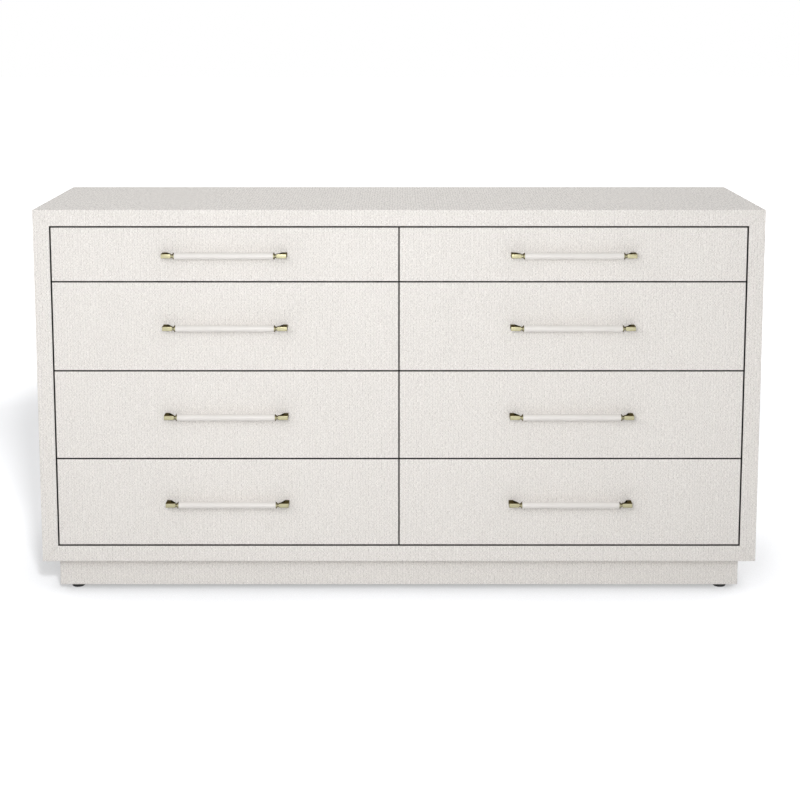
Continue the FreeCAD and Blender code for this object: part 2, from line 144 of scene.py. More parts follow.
class PullSettings(bpy.types.PropertyGroup):
    """Bar pulls: a lacquered grip between two brass brackets."""

    bar_size: length("Bar", "Side of the bracket's square bar", 0.010)
    post_width: length("Post", "Width of the post that reaches back to the drawer", 0.011)
    post_fillet: length("Fillet", "Radius in the corner between bar and post", 0.002)
    edge_round: length("Edges", "Rounding of the bracket's edges", 0.0008)
    collar_length: length("Collar", "Length of the flared collar that meets the grip", 0.007)
    collar_neck: length("Collar neck", "Diameter where the flare leaves the bar", 0.008)
    collar_rim: length("Collar rim", "Width of the straight rim beside the grip", 0.0022)
    grip_end_round: length("Grip ends", "Rounding at both ends of the grip", 0.0012)
    screw_head: length("Screw head", "Diameter of the screws' heads inside the drawer", 0.008)
    screw_head_height: length("Screw head height", "Height of those heads", 0.0026)
    screw_shank: length("Screw shank", "Diameter of the screws", 0.004)
    screw_socket: length("Screw socket", "Across the corners of the hexagon socket", 0.003)
    grip_colour: colour("Grip", "Lacquer of the grip", (0.805, 0.775, 0.743))
    # Painted shade: the brackets show the brass colour where they face forward and the dark brass
    # where they face up, down and, less, to the ends, standing in for their shade and dark
    # reflections; the dark brass also colours random patches of patina.
    brass_light: colour("Brass", "Satin brass, rubbed bright on the front", (0.335, 0.315, 0.20))
    brass_patina_and_shade: colour("Dark brass", "Patina on the faces that hands don't rub",
                       (0.11, 0.088, 0.045))


class BoxSettings(bpy.types.PropertyGroup):
    """Drawer boxes of pale hardwood, and the partition and blocks inside the case."""

    early_wood: colour("Early wood", "Light bands of the grain", (0.66, 0.50, 0.33))
    late_wood: colour("Late wood", "Dark bands of the grain", (0.50, 0.34, 0.20))
    band_width: length("Grain bands", "Typical width of a band across the grain", 0.009)
    primer: colour("Primer", "Dark primer inside the case", (0.035, 0.031, 0.028))


class MetalSettings(bpy.types.PropertyGroup):
    """Zinc-plated runners and screws, and the black feet."""

    zinc: colour("Zinc", "Bright zinc plate", (0.55, 0.56, 0.58))
    spangle: length("Spangle", "Size of the plate's pale patches", 0.012)
    foot_colour: colour("Feet", "Moulded black plastic", (0.012, 0.012, 0.013))


class StudioSettings(bpy.types.PropertyGroup):
    """Camera, lamps and floor."""

    camera_distance: length("Camera distance", "In front of the dresser's face", 3.913)
    camera_height: length("Camera height", "Above the floor", 1.370)
    camera_side: FloatProperty(name="Camera side step", description="Along the width",
                               default=-0.0023, subtype="DISTANCE", unit="LENGTH")
    camera_pitch: FloatProperty(name="Camera pitch", description="Downward tilt", default=0.1451,
                                subtype="ANGLE", unit="ROTATION")
    lens: FloatProperty(name="Lens", description="Focal length for the sensor below", default=77.64,
                        subtype="DISTANCE_CAMERA", unit="CAMERA")
    sensor: FloatProperty(name="Sensor", description="Width of the sensor", default=36.0,
                          subtype="DISTANCE_CAMERA", unit="CAMERA")
    shift_x: FloatProperty(name="Shift X", description="Sideways shift of the lens", default=0.0025)
    shift_y: FloatProperty(name="Shift Y", description="Upward shift of the lens", default=-0.175)
    key_power: power("Key", "Softbox near the middle, a little above the top", 27.4)
    fill_power: power("Fill", "Softbox on the left, higher up", 9.5)
    top_power: power("Top", "Softbox overhead", 5.2)
    top_tint: colour("Top tint", "Colour of the overhead softbox", (1.0, 0.965, 0.93))
    sky: share("Room light", "Even light from all round", 0.53)
    floor_glow: share("Floor glow", "Brightness that the pale floor adds to its own shading", 0.48)
    glow_starts: length("White starts", "Where the floor starts to fade to plain white", 2.15)
    glow_ends: length("White ends", "Where the floor has faded to plain white", 3.6)
    floor_colour: colour("Floor", "Pale studio floor", (0.46, 0.464, 0.478))
    # Painted shade: the floor's colour darkens towards this one near what stands on it.
    contact_shade_colour: colour("Contact colour", "The floor close to what stands on it",
                           (0.08, 0.081, 0.085))
    floor_bounce: colour("Floor bounce",
                         "Share of its light that the floor sends back to the dresser",
                         (0.32, 0.32, 0.32))
    contact_reach: length("Contact shade", "How far the floor is shaded around what stands on it",
                          0.30)
    floor_power: power("Floor lamp", "Lights the floor alone", 2500.0)


SETTINGS = {"wrap": WrapSettings, "pull": PullSettings, "box": BoxSettings, "metal": MetalSettings,
            "studio": StudioSettings}


def settings(kind):
    return getattr(bpy.context.scene, "dresser_" + kind)


# ---- Reckoning in materials ---------------------------------------------------------------------
class Signal:
    """A number that varies over a surface: an output socket that adds up like a number."""

    def __init__(self, socket):
        self.socket = socket

    def joined(self, operation, *others):
        node = self.socket.id_data.nodes.new("ShaderNodeMath")
        node.operation = operation
        for inlet, value in zip(node.inputs, (self, *others)):
            feed(inlet, value)
        return Signal(node.outputs[0])

    def __add__(self, other):
        return self.joined("ADD", other)

    def __sub__(self, other):
        return self.joined("SUBTRACT", other)

    def __mul__(self, other):
        return self.joined("MULTIPLY", other)

    def __truediv__(self, other):
        return self.joined("DIVIDE", other)

    def __neg__(self):
        return self * -1.0

    def __abs__(self):
        return self.joined("ABSOLUTE")

    def whole(self):
        return self.joined("FLOOR")

    def sine(self):
        return self.joined("SINE")

    def cosine(self):
        return self.joined("COSINE")

    def or_more(self, other):
        return self.joined("MAXIMUM", other)

    def or_less(self, other):
        return self.joined("MINIMUM", other)

    def passing(self, level, width):
        """0 below level, 1 above level plus width, and a straight ramp in between."""
        ramp = (self - level) / width
        return ramp.or_more(0.0).or_less(1.0)


def feed(inlet, value):
    """Links a signal or a socket to an inlet, or sets the inlet to a plain value."""
    if isinstance(value, Signal):
        value = value.socket
    if isinstance(value, bpy.types.NodeSocket):
        inlet.id_data.links.new(value, inlet)
    else:
        inlet.default_value = value


MIX_COLOURS = (6, 7)          # a Mix node's sockets for colours, whose names aren't unique
MIX_RESULT = 2


def mixed(tree, factor, first, second):
    """A colour between first, where factor is 0, and second, where it is 1."""
    node = tree.nodes.new("ShaderNodeMix")
    node.data_type = "RGBA"
    feed(node.inputs["Factor"], factor)
    for index, value in zip(MIX_COLOURS, (first, second)):
        is_linked = isinstance(value, bpy.types.NodeSocket)
        feed(node.inputs[index], value if is_linked else (*value, 1.0))
    return node.outputs[MIX_RESULT]


class Recipe:
    """A material being mixed: its node tree, the place of each surface point, and its shader."""

    def __init__(self, name):
        self.material = bpy.data.materials.new(name)
        self.material.use_nodes = True
        self.tree = self.material.node_tree
        self.shader = self.tree.nodes["Principled BSDF"]
        place = self.tree.nodes.new("ShaderNodeTexCoord").outputs["Object"]
        facing = self.tree.nodes.new("ShaderNodeNewGeometry").outputs["Normal"]
        self.x, self.y, self.z = self.parts(place)
        self.normal_x, self.normal_y, self.normal_z = self.parts(facing)

    def parts(self, vector):
        node = self.tree.nodes.new("ShaderNodeSeparateXYZ")
        self.tree.links.new(vector, node.inputs[0])
        return [Signal(socket) for socket in node.outputs]

    def noise(self, x, y, z, detail=2.0, roughness=0.5):
        """Smooth noise between 0 and 1, one feature for each whole step of its coordinates.

        In the recipes, a place times a number therefore gives that many features to the metre.
        """
        joined = self.tree.nodes.new("ShaderNodeCombineXYZ")
        for inlet, value in zip(joined.inputs, (x, y, z)):
            feed(inlet, value)
        node = self.tree.nodes.new("ShaderNodeTexNoise")
        node.inputs["Scale"].default_value = 1.0
        node.inputs["Detail"].default_value = detail
        node.inputs["Roughness"].default_value = roughness
        self.tree.links.new(joined.outputs[0], node.inputs["Vector"])
        return Signal(node.outputs[0])

    def mix(self, factor, first, second):
        return mixed(self.tree, factor, first, second)

    def choose(self, factor, first, second):
        """A number between first, where factor is 0, and second, where it is 1."""
        return first + (second - first) * factor

    def finish(self, base, roughness, height=None, depth=0.0, **constants):
        """Plugs colour, roughness and relief into the shader and sets its other sockets."""
        feed(self.shader.inputs["Base Color"], base)
        feed(self.shader.inputs["Roughness"], roughness)
        for name, value in constants.items():
            self.shader.inputs[name.replace("_", " ")].default_value = value
        if height is not None:
            bump = self.tree.nodes.new("ShaderNodeBump")
            bump.inputs["Distance"].default_value = depth
            feed(bump.inputs["Height"], height)
            self.tree.links.new(bump.outputs[0], self.shader.inputs["Normal"])
        return self.material


FACES_ALONG = 0.6             # a face belongs to an axis where its normal has this share of it
THREAD_BACK = 0.6             # share of the weave's height from each thread's own round back
THREAD_RIDE = 0.4             # and from riding over and under the threads that it crosses
MEAN_HEIGHT = 0.6             # of the weave, from 0 to 1
# Painted shade: the dark edge paint stands in for the shade in the gaps between fronts and case.
GAP_SHADE_FADE = 0.0005           # edge paint sets in over this width, in metres
LINE_FADE = 0.0004            # and along the opening and the back seam over this one


def cloth_directions(recipe):
    """Coordinates across and along the cloth, laid flat on whichever side of the board is seen.

    The third signal is 1 on level faces and 0 on upright ones.
    """
    on_side = abs(recipe.normal_x).passing(FACES_ALONG, 0.01)
    on_level = abs(recipe.normal_z).passing(FACES_ALONG, 0.01)
    across = recipe.choose(on_side, recipe.x, recipe.y)
    along = recipe.choose(on_level, recipe.z, recipe.y)
    return across, along, on_level


def weave(recipe, across, along, pitch):
    """Height of a plain weave, and which thread lies on top.

    Each thread's back is the sine of its own width, and it rides over and under the threads that it
    crosses as the sine of the way along it, with the sign turned from each thread to the next. The
    surface is the higher of warp and weft.
    """
    u, v = across / pitch * math.pi, along / pitch * math.pi
    warp_sign = ((across / pitch).whole() * math.pi).cosine()
    weft_sign = ((along / pitch).whole() * math.pi).cosine()
    warp = abs(u.sine()) * THREAD_BACK + v.sine() * warp_sign * THREAD_RIDE
    weft = abs(v.sine()) * THREAD_BACK - u.sine() * weft_sign * THREAD_RIDE
    return warp.or_more(weft), (warp - weft).passing(0.0, 0.2)


def woven_wrap(name, is_shade_painted):
    """Cloth under off-white lacquer, with dark paint as painted gap shade where the mask says 1.

    The lacquer darkens where the weave is low, as painted shade in its hollows, and its tone also
    follows ribs where every second warp thread is the thicker one, slubs along each thread, and
    specks where lacquer has pooled.
    """
    values = settings("wrap")
    recipe = Recipe(name)
    pitch = values.thread_pitch
    across, along, on_level = cloth_directions(recipe)
    drift = (recipe.noise(across * 55.0, along * 14.0, recipe.y * 9.0, 1.0) - 0.5) * pitch * 1.6
    sag = (recipe.noise(across * 14.0, along * 55.0, recipe.y * 9.0 + 5.0, 1.0) - 0.5) * pitch * 1.6
    bent_across, bent_along = across + drift, along + sag
    height, warp_on_top = weave(recipe, bent_across, bent_along, pitch)
    bead = recipe.noise(across / (pitch * 2.4), along / (pitch * 1.1), 3.0, 1.0) - 0.5
    rib = (bent_across / pitch * math.pi).cosine() * (bead * 5.0 + 0.2)
    slub_rate = on_level * -180.0 + 240.0
    warp_slub = recipe.noise((bent_across / pitch).whole() * 3.7, along * slub_rate, 2.0, 1.0)
    weft_slub = recipe.noise(across * 240.0, (bent_along / pitch).whole() * 5.3, 9.0, 1.0)
    slub = recipe.choose(warp_on_top, weft_slub, warp_slub) - 0.5
    speck_rate = on_level * -310.0 + 360.0
    speck = recipe.noise(across / pitch, along * speck_rate, 7.0, 1.0) - 0.5
    cloud = recipe.noise(across * 3.1, along * 2.3, recipe.y * 2.0, 2.0) - 0.5
    # Painted shade: the weave's height darkens its hollows; ribs, slubs and specks are the cloth's
    # own tone.
    figure = (height - MEAN_HEIGHT) * 0.35 + rib * values.ribs * 0.5
    figure = figure + slub * values.slubs + speck * values.specks
    tone = figure * (on_level * values.level_gain + 1.0) + cloud * 0.12 + 0.55
    streaked = recipe.mix(tone.or_more(0.0).or_less(1.0), values.hollow, values.lacquer)
    base = recipe.mix(is_shade_painted(recipe), streaked, values.gap_shade_paint)
    relief = height + rib * 0.5 + slub * 1.5
    return recipe.finish(base, speck * 0.4 + values.gloss, relief, values.thread_relief,
                         Specular_IOR_Level=0.35, Coat_Weight=0.08, Coat_Roughness=0.35)


def shade_painted_inside_case(recipe):
    """Painted shade: 1 on the walls of the case's opening, and on the back along the seam around
    its panel, where the gaps lie in shade; inside the case the dark is also a finish.

    Both come from how far a point lies within an upright rectangle: the opening's, and the panel's.
    """
    def within(half, rise):
        beside = -abs(recipe.x) + half
        return beside.or_less(-abs(recipe.z - OPENING_MIDDLE) + rise)

    values = settings("wrap")
    inside = within(OPENING_HALF, OPENING_RISE).passing(-2 * LINE_FADE, LINE_FADE)
    behind_face = (recipe.y - FACE_Y).passing(values.gap_shade_starts, GAP_SHADE_FADE)
    on_back = (recipe.y - REAR_Y).passing(-3 * GAP_SHADE_FADE, GAP_SHADE_FADE)
    to_seam = abs(within(BACK_HIGH.x, (BACK_HIGH.z - BACK_LOW.z) / 2))
    seam = (-to_seam).passing(-values.seam_shade_width / 2, LINE_FADE)
    return (inside * behind_face * (-on_back + 1.0)).or_more(seam * on_back)


def shade_painted_on_edges(recipe):
    """Painted shade: 1 on the four narrow sides of a drawer front, from just behind its face."""
    narrow = (-abs(recipe.normal_y)).passing(-0.5, 0.2)
    return narrow * (recipe.y - FACE_Y).passing(settings("wrap").gap_shade_starts, GAP_SHADE_FADE)


def painted_nowhere(recipe):
    return recipe.x * 0.0


def grip_lacquer():
    """Smooth off-white lacquer with faint brush marks along the bar."""
    values = settings("pull")
    recipe = Recipe("grip_lacquer")
    marks = recipe.noise(recipe.x * 40.0, recipe.y * 900.0, recipe.z * 900.0, 3.0)
    cloud = recipe.noise(recipe.x * 30.0, recipe.y * 60.0, recipe.z * 60.0)
    tone = (marks * 0.6 + cloud * 0.4).passing(0.25, 0.5)
    darker = [value * 0.93 for value in values.grip_colour]
    base = recipe.mix(tone, darker, values.grip_colour)
    return recipe.finish(base, marks * 0.2 + 0.36, marks, 0.00004,
                         Specular_IOR_Level=0.45, Coat_Weight=0.15, Coat_Roughness=0.2)


def satin_brass():
    """Brushed brass with patches of patina, and painted shade: dark on top and below, less on the
    ends, bright on the faces that look forward.
    """
    values = settings("pull")
    recipe = Recipe("satin_brass")
    brushing = recipe.noise(recipe.x * 90.0, recipe.y * 4000.0, recipe.z * 4000.0, 2.0)
    patches = recipe.noise(recipe.x * 240.0, recipe.y * 240.0, recipe.z * 240.0, 3.0, 0.6)
    # Painted shade: faces that turn up or down, and less so the ends, take the dark brass in place
    # of their shade and dark reflections; the noise patches are patina.
    level = abs(recipe.normal_z).passing(0.30, 0.25)
    upright = abs(recipe.normal_x).passing(0.9, 0.05) * 0.6
    painted_shade_facing = level.or_more(upright)
    patina_and_shade = (painted_shade_facing * 0.95 + (patches - 0.45) * 0.5 + (brushing - 0.5) * 0.25).or_more(0.0)
    base = recipe.mix(patina_and_shade.or_less(1.0), values.brass_light, values.brass_patina_and_shade)
    roughness = patches * 0.15 + brushing * 0.1 + painted_shade_facing * 0.15 + 0.2
    return recipe.finish(base, roughness, brushing + patches * 0.5, 0.00003, Metallic=1.0,
                         Specular_Tint=(0.35, 0.33, 0.28, 1.0))


def timber(name, grain):
    """Pale hardwood. grain is 0 or 1 for boards whose grain runs along X or along Y.

    Bands follow noise that is stretched along the grain, with fine dark pores. Faces at the boards'
    ends show rings and pores as specks.
    """
    values = settings("box")
    recipe = Recipe(name)
    along, beside = ((recipe.x, recipe.y), (recipe.y, recipe.x))[grain]
    end_face = abs((recipe.normal_x, recipe.normal_y)[grain]).passing(0.7, 0.1)
    width = values.band_width
    bend = recipe.noise(along * 2.2, beside * 7.0, recipe.z * 7.0, 2.0) * 2.4
    bands = recipe.noise(along * 1.4, beside / width + bend, recipe.z / width + bend, 3.0, 0.55)
    rings = ((beside * 0.35 + recipe.z) / width * math.pi + bend * 3.0).sine() * 0.5 + 0.5
    pores = recipe.noise(along * 70.0, beside * 2400.0, recipe.z * 2400.0, 2.0, 0.7)
    specks = recipe.noise(beside * 1900.0, recipe.z * 1900.0, along * 300.0, 2.0, 0.7)
    long_tone = bands * 0.75 + rings * 0.25
    end_tone = rings * 0.6 + specks * 0.7 - 0.1
    tone = recipe.choose(end_face, long_tone, end_tone)
    dark_pores = (-pores).passing(-0.42, 0.12) * 0.55
    figured = recipe.mix(tone.passing(0.25, 0.5), values.late_wood, values.early_wood)
    base = recipe.mix(dark_pores, figured, [value * 0.55 for value in values.late_wood])
    height = tone * 0.4 - dark_pores
    return recipe.finish(base, tone * 0.12 + 0.42, height, 0.00012,
                         Specular_IOR_Level=0.4, Coat_Weight=0.12, Coat_Roughness=0.3)


def dark_primer():
    """Thin dark primer, slightly streaky, over smooth board."""
    values = settings("box")
    recipe = Recipe("dark_primer")
    streak = recipe.noise(recipe.x * 50.0, recipe.y * 30.0, recipe.z * 6.0, 3.0, 0.6)
    grit = recipe.noise(recipe.x * 1500.0, recipe.y * 1500.0, recipe.z * 1500.0)
    lighter = [value * 1.8 for value in values.primer]
    base = recipe.mix((streak * 0.7 + grit * 0.3).passing(0.3, 0.4), values.primer, lighter)
    return recipe.finish(base, grit * 0.2 + 0.5, grit, 0.00006, Specular_IOR_Level=0.3)


def zinc_plate():
    """Bright zinc plate with soft spangles and rolling marks along the runners."""
    values = settings("metal")
    recipe = Recipe("zinc_plate")
    size = values.spangle
    spangles = recipe.noise(recipe.x / size, recipe.y / size, recipe.z / size, 3.0, 0.7)
    rolling = recipe.noise(recipe.x * 1200.0, recipe.y * 9.0, recipe.z * 1200.0, 2.0)
    darker = [value * 0.72 for value in values.zinc]
    base = recipe.mix((spangles * 0.7 + rolling * 0.3).passing(0.3, 0.4), darker, values.zinc)
    roughness = spangles * 0.25 + rolling * 0.1 + 0.15
    return recipe.finish(base, roughness, rolling, 0.00002, Metallic=1.0)


def black_plastic():
    """Moulded black plastic with a fine spark-eroded grain."""
    values = settings("metal")
    recipe = Recipe("black_plastic")
    grain = recipe.noise(recipe.x * 1400.0, recipe.y * 1400.0, recipe.z * 1400.0, 3.0, 0.6)
    scuffs = recipe.noise(recipe.x * 130.0, recipe.y * 130.0, recipe.z * 40.0, 3.0)
    greyed = [value * 1.8 for value in values.foot_colour]
    base = recipe.mix(scuffs.passing(0.45, 0.3), values.foot_colour, greyed)
    return recipe.finish(base, scuffs * 0.3 + 0.4, grain, 0.00008, Specular_IOR_Level=0.4)


# ---- Surfaces -----------------------------------------------------------------------------------
SHARP_ABOVE = math.radians(35)
ROUND_SIDES = 48              # flats around a turned piece
MERGE_WITHIN = 0.00001        # points closer than this, in metres, are one
# Points along an arc: a grip's rounded end, a bracket's outline corner, its rim, a collar's flare,
# and a screw's dome
END_STEPS, CORNER_STEPS, RIM_STEPS, FLARE_STEPS, DOME_STEPS = 6, 7, 5, 12, 7
SOCKET_DEPTH = 0.65           # of a screw head's height
DOME_STARTS = 0.35            # radians from the screw's axis
HELD_IN_POST = 0.010          # length of a pull screw beyond the front's face, in metres


def piece_from(name, points, faces, material):
    """A piece at the origin from points and faces, smooth but for sharp edges and flat ends."""
    mesh = bpy.data.meshes.new(name)
    mesh.from_pydata(np.asarray(points).reshape(-1, 3).tolist(), [], faces)
    mesh.validate()
    corners = np.empty(len(mesh.polygons), int)
    mesh.polygons.foreach_get("loop_total", corners)
    mesh.polygons.foreach_set("use_smooth", corners <= 4)
    mesh.set_sharp_from_angle(angle=SHARP_ABOVE)
    mesh.materials.append(material)
    piece = bpy.data.objects.new(name, mesh)
    bpy.context.scene.collection.objects.link(piece)
    return piece


def tube_faces(rows, columns, start=0):
    """Quads between the rows of a grid whose columns close on themselves, and both end faces."""
    row, column = np.meshgrid(np.arange(rows - 1), np.arange(columns), indexing="ij")
    after = (column + 1) % columns
    corners = (row * columns + column, row * columns + after,
               (row + 1) * columns + after, (row + 1) * columns + column)
    quads = np.stack(corners, axis=-1).reshape(-1, 4) + start
    ends = [list(range(start + columns - 1, start - 1, -1)),
            list(range(start + (rows - 1) * columns, start + rows * columns))]
    return quads.tolist() + ends


def turned(profile, base, axis, columns):
    """A turned surface: every (distance along the axis, radius) of the profile becomes a circle.

    point = base + axis * distance + radius * (first * cos(turn) + second * sin(turn)). A radius may
    be an array, one for each column, where the section isn't round.
    """
    first = np.roll(axis, 1)
    second = np.cross(axis, first)
    turn = np.linspace(0.0, FULL_TURN, columns, endpoint=False)
    distance = np.array([row[0] for row in profile])[:, None, None]
    radius = np.array([np.broadcast_to(row[1], columns) for row in profile])[:, :, None]
    circle = np.cos(turn)[:, None] * first + np.sin(turn)[:, None] * second
    return base + distance * axis + radius * circle[None]


def arc(centre, radii, start, end, steps):
    """Points of an elliptic arc: centre + (radius one * cos, radius two * sin), start to end."""
    angle = np.linspace(start, end, steps)
    first, second = centre[0] + radii[0] * np.cos(angle), centre[1] + radii[1] * np.sin(angle)
    return np.stack([first, second], axis=1)


def rounded_outline(corners, radii, steps):
    """A closed outline through corners, each one rounded by an arc, with its outward normals.

    The arc's centre lies on the corner's bisector at radius / sin(half the angle), and its points
    swing from the bisector by up to (90 degrees - half the angle) each way. Corners run
    anticlockwise, so where the outline turns the other way the arc is hollow and its normals flip.
    """
    corners = np.asarray(corners, float)
    back = np.roll(corners, 1, axis=0) - corners
    ahead = np.roll(corners, -1, axis=0) - corners
    back /= np.linalg.norm(back, axis=1)[:, None]
    ahead /= np.linalg.norm(ahead, axis=1)[:, None]
    half = np.arccos(np.clip((back * ahead).sum(axis=1), -1.0, 1.0)) / 2
    bisector = back + ahead
    bisector /= np.linalg.norm(bisector, axis=1)[:, None]
    hollow = back[:, 0] * ahead[:, 1] - back[:, 1] * ahead[:, 0] > 0
    way = np.where(hollow, -1.0, 1.0)
    centre = corners + bisector * (np.asarray(radii) / np.sin(half))[:, None]
    swing = np.linspace(-1.0, 1.0, steps)[None, :] * (math.pi / 2 - half)[:, None] * way[:, None]
    facing = np.arctan2(-bisector[:, 1], -bisector[:, 0])[:, None] + swing
    spoke = np.stack([np.cos(facing), np.sin(facing)], axis=-1)
    points = centre[:, None, :] + np.asarray(radii)[:, None, None] * spoke
    return points.reshape(-1, 2), (spoke * way[:, None, None]).reshape(-1, 2)


def thick_plate(outline, normals, half_height, edge_round, steps):
    """A plate with rounded rims: the outline is carried up the height along a rounded profile.

    Each profile point has an inset, taken along the outline's normals, and a height. Two quarter
    circles join the straight middle to the flat ends.
    """
    quarter = arc((edge_round, edge_round), (-edge_round, -edge_round), math.pi / 2, 0.0, steps)
    inset = np.concatenate([quarter[:, 0], quarter[::-1, 0]])
    level = np.concatenate([quarter[:, 1] - half_height, half_height - quarter[::-1, 1]])
    flat = outline[None] - normals[None] * inset[:, None, None]
    height = np.broadcast_to(level[:, None, None], (*flat.shape[:2], 1))
    return np.concatenate([flat, height], axis=2)


def loose_boards(node):
    """The separate closed shells of a CAD node, as (points, faces), once its seams are merged.

    Every point starts with its own label, and each face passes on its lowest label until all the
    points of a shell agree.
    """
    merged = bmesh.new()
    merged.from_mesh(frame["nodes"][node].data)
    bmesh.ops.remove_doubles(merged, verts=merged.verts, dist=MERGE_WITHIN)
    points = np.array([vertex.co for vertex in merged.verts])
    faces = np.array([[vertex.index for vertex in face.verts] for face in merged.faces])
    merged.free()
    labels = np.arange(len(points))
    settled = False
    while not settled:
        lowest = labels[faces].min(axis=1)
        spread = labels.copy()
        np.minimum.at(spread, faces, lowest[:, None])
        settled = np.array_equal(spread, labels)
        labels = spread
    shells = []
    for label in np.unique(labels):
        member = labels == label
        renumbered = np.cumsum(member) - 1
        shells.append((points[member], renumbered[faces[member[faces[:, 0]]]].tolist()))
    return shells


def place_piece(piece, body, slot, *nodes):
    """Hangs a finished piece on its body and hides the nodes it stands for."""
    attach(piece, body)
    if nodes:
        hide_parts(*nodes)
    return piece


def refinish(node, material):
    """Gives a CAD node its finish."""
    slots = frame["nodes"][node].data.materials
    slots.clear()
    slots.append(material)


# ---- Operators ----------------------------------------------------------------------------------
class DressingOperator(bpy.types.Operator):
    """Makes or finishes one group of pieces."""

    bl_options = {"REGISTER", "UNDO"}

    def execute(self, context):
        self.make()
        return {"FINISHED"}


class DRESSER_OT_wrap_case(DressingOperator):
    """Wrap the case, its back and the plinth in woven cloth, with dark paint as painted shade
    inside the opening
    """

    bl_idname = "dresser.wrap_case"
    bl_label = "Wrap the case"

    def make(self):
        case_wrap = woven_wrap("case_wrap", shade_painted_inside_case)
        for node in ("top_panel", "bottom_panel", "left_side_panel", "right_side_panel",
                     "back_panel"):
            refinish(node, case_wrap)
        refinish("plinth_rails", woven_wrap("plinth_wrap", painted_nowhere))


class DRESSER_OT_wrap_fronts(DressingOperator):
    """Wrap the drawer fronts in woven cloth and paint their narrow edges dark as painted gap shade
    """

    bl_idname = "dresser.wrap_fronts"
    bl_label = "Wrap the drawer fronts"

    def make(self):
        front_wrap = woven_wrap("front_wrap", shade_painted_on_edges)
        for drawer in DRAWERS:
            refinish(drawer + "_drawer_front", front_wrap)


class DRESSER_OT_make_grips(DressingOperator):
    """Turn the round grips of the pulls"""

    bl_idname = "dresser.make_grips"
    bl_label = "Turn the grips"

    def make(self):
        values = settings("pull")
        lacquer = grip_lacquer()
        for drawer in DRAWERS:
            node = drawer + "_pull_grip"
            low, high = (np.array(corner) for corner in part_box(node))
            radius = (high[2] - low[2]) / 2
            end = values.grip_end_round
            near = arc((end, radius - end), (-end, end), 0.0, math.pi / 2, END_STEPS)
            far = near[::-1] * (-1, 1) + (high[0] - low[0], 0)
            profile = [*near, *far]
            base = np.array((low[0], (low[1] + high[1]) / 2, (low[2] + high[2]) / 2))
            grid = turned(profile, base, X_AXIS, ROUND_SIDES)
            faces = tube_faces(len(profile), ROUND_SIDES)
            piece = piece_from(drawer + "_grip", grid, faces, lacquer)
            place_piece(piece, drawer + "_drawer", "pull_grip", node)


class DRESSER_OT_make_brackets(DressingOperator):
    """Form the brass brackets, with flared collars, and the screws that hold them"""

    bl_idname = "dresser.make_brackets"
    bl_label = "Form the brackets"

    def bracket(self, name, low, high, axis_y, axis_z, side, material):
        """One bracket: an L-shaped plate on edge, and a collar turned on the end of its bar.

        side is -1 at the left end of the pull and 1 at the right end, which is its mirror image.
        """
        values = settings("pull")
        half = values.bar_size / 2
        end_x = low[0] if side < 0 else high[0]
        inward = -side
        bar_x = end_x + inward * (self.reach - values.collar_length)
        post_x = end_x + inward * values.post_width
        front, back = axis_y - half, axis_y + half
        corners = [(end_x, front), (bar_x, front), (bar_x, back), (post_x, back), (post_x, FACE_Y),
                   (end_x, FACE_Y)]
        radii = [values.edge_round] * len(corners)
        radii[3] = values.post_fillet
        if side > 0:
            corners, radii = corners[::-1], radii[::-1]
        outline, normals = rounded_outline(corners, radii, CORNER_STEPS)
        ell = thick_plate(outline, normals, half, values.edge_round, RIM_STEPS)
        ell[..., 2] += axis_z
        neck, rim = values.collar_neck / 2, self.radius
        flare_end = values.collar_length - values.collar_rim
        flare = arc((0.0, rim), (flare_end, neck - rim), math.pi / 2, 0.0, FLARE_STEPS)
        round_off = values.edge_round / 2
        profile = [(-values.edge_round, neck), *flare,
                   (values.collar_length - round_off, rim), (values.collar_length, rim - round_off)]
        collar = turned(profile, np.array((bar_x, axis_y, axis_z)), inward * X_AXIS, ROUND_SIDES)
        faces = tube_faces(ell.shape[0], ell.shape[1])
        faces += tube_faces(len(profile), ROUND_SIDES, ell.shape[0] * ell.shape[1])
        points = np.concatenate([ell.reshape(-1, 3), collar.reshape(-1, 3)])
        return piece_from(name, points, faces, material)

    def screw(self, name, centre, head_y, material):
        """A machine screw from inside the drawer: domed head with a hexagon socket, plain shank."""
        values = settings("pull")
        head, height = values.screw_head / 2, values.screw_head_height
        turn = np.linspace(0.0, FULL_TURN, ROUND_SIDES, endpoint=False)
        sixth = FULL_TURN / 6
        hexagon = (values.screw_socket / 2 * math.cos(sixth / 2)
                   / np.cos(turn % sixth - sixth / 2))
        floor = -height * (1 - SOCKET_DEPTH)
        dome = arc((floor, 0.0), (-height * SOCKET_DEPTH, head), DOME_STARTS, math.pi / 2,
                   DOME_STEPS)
        shank = values.screw_shank / 2
        tip = head_y - FACE_Y + HELD_IN_POST
        profile = [(floor, hexagon), (-height, hexagon), *dome, (0.0, head),
                   (0.0, shank), (tip, shank)]
        base = np.array((centre[0], head_y, centre[1]))
        grid = turned(profile, base, -Y_AXIS, ROUND_SIDES)
        return piece_from(name, grid, tube_faces(len(profile), ROUND_SIDES), material)

    def make(self):
        values = settings("pull")
        brass, steel = satin_brass(), zinc_plate()
        for drawer in DRAWERS:
            node = drawer + "_pull_brackets"
            low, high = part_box(node)
            grip_low, grip_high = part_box(drawer + "_pull_grip")
            axis_y, axis_z = (grip_low.y + grip_high.y) / 2, (grip_low.z + grip_high.z) / 2
            self.radius = (grip_high.z - grip_low.z) / 2
            self.reach = grip_low.x - low.x
            for side, word in ((-1, "left"), (1, "right")):
                piece = self.bracket(f"{drawer}_{word}_bracket", low, high, axis_y, axis_z,
                                     side, brass)
                place_piece(piece, drawer + "_drawer", "brass", node)
                foot_x = (low.x if side < 0 else high.x) - side * values.post_width / 2
                head_y = high.y - values.screw_head_height
                screw = self.screw(f"{drawer}_{word}_pull_screw", (foot_x, axis_z), head_y, steel)
                place_piece(screw, drawer + "_drawer", "runner_steel", node)


